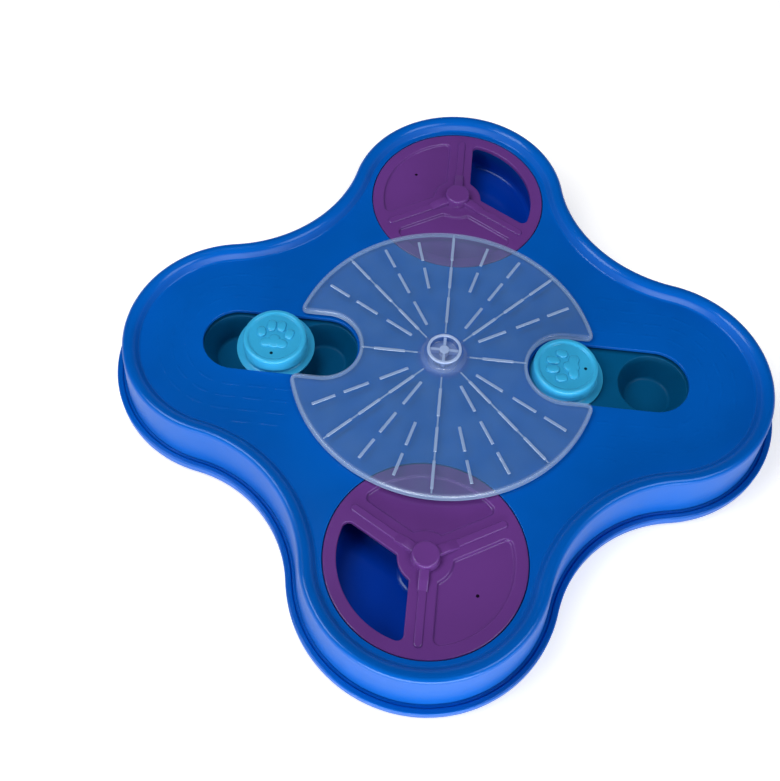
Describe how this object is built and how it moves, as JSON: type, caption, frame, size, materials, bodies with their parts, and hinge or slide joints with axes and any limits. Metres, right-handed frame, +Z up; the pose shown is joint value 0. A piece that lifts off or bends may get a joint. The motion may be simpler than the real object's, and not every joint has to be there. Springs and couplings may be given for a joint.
{
  "type": "dog puzzle feeder toy",
  "caption": "Four-lobed dog puzzle feeder: treat wells under turning windowed discs, cups under sliding buttons, and a clear slotted cover turning on a centre hub.",
  "frame": {"origin": "centre of the toy, on the plane that its four feet stand on", "axes": "+Z up; X along the two slider slots, to the right one; Y through the two turning discs, from the front one to the back one"},
  "size_m": [0.3416, 0.3416, 0.0395],
  "materials": {
    "shell": "glossy blue moulding",
    "disc": "satin purple moulding",
    "slider": "satin turquoise moulding",
    "tray": "dark teal moulding",
    "cover": "clear moulding, slightly frosted",
    "foot": "matt rubber",
    "steel": "plated steel"
  },
  "bodies": {
    "base": {"top_shell": "shell", "bottom_cover": "shell", "right_cup_tray": "tray", "left_cup_tray": "tray", "right_tray_screws": "steel", "left_tray_screws": "steel", "housing_screws": "steel", "front_foot": "foot", "back_foot": "foot", "right_foot": "foot", "left_foot": "foot"},
    "front_disc": {"front_disc": "disc", "front_disc_washer": "steel", "front_disc_screw": "steel"},
    "back_disc": {"back_disc": "disc", "back_disc_washer": "steel", "back_disc_screw": "steel"},
    "cover": {"clear_cover": "cover", "cover_washer": "steel", "cover_screw": "steel"},
    "right_slider": {"right_slider": "slider"},
    "left_slider": {"left_slider": "slider"}
  },
  "joints": [
    {"name": "front_disc_turn", "type": "hinge", "parent": "base", "child": "front_disc", "pos_m": [0, -0.1057, 0.0285], "axis": [0, 0, 1], "continuous": true},
    {"name": "back_disc_turn", "type": "hinge", "parent": "base", "child": "back_disc", "pos_m": [0, 0.1057, 0.0285], "axis": [0, 0, 1], "continuous": true},
    {"name": "cover_turn", "type": "hinge", "parent": "base", "child": "cover", "pos_m": [0, 0, 0.0285], "axis": [0, 0, 1], "range_deg": [-2, 2]},
    {"name": "right_slide", "type": "slide", "parent": "base", "child": "right_slider", "axis": [1, 0, 0], "range_m": [0, 0.0447]},
    {"name": "left_slide", "type": "slide", "parent": "base", "child": "left_slider", "axis": [1, 0, 0], "range_m": [-0.0199, 0.0248]}
  ]
}
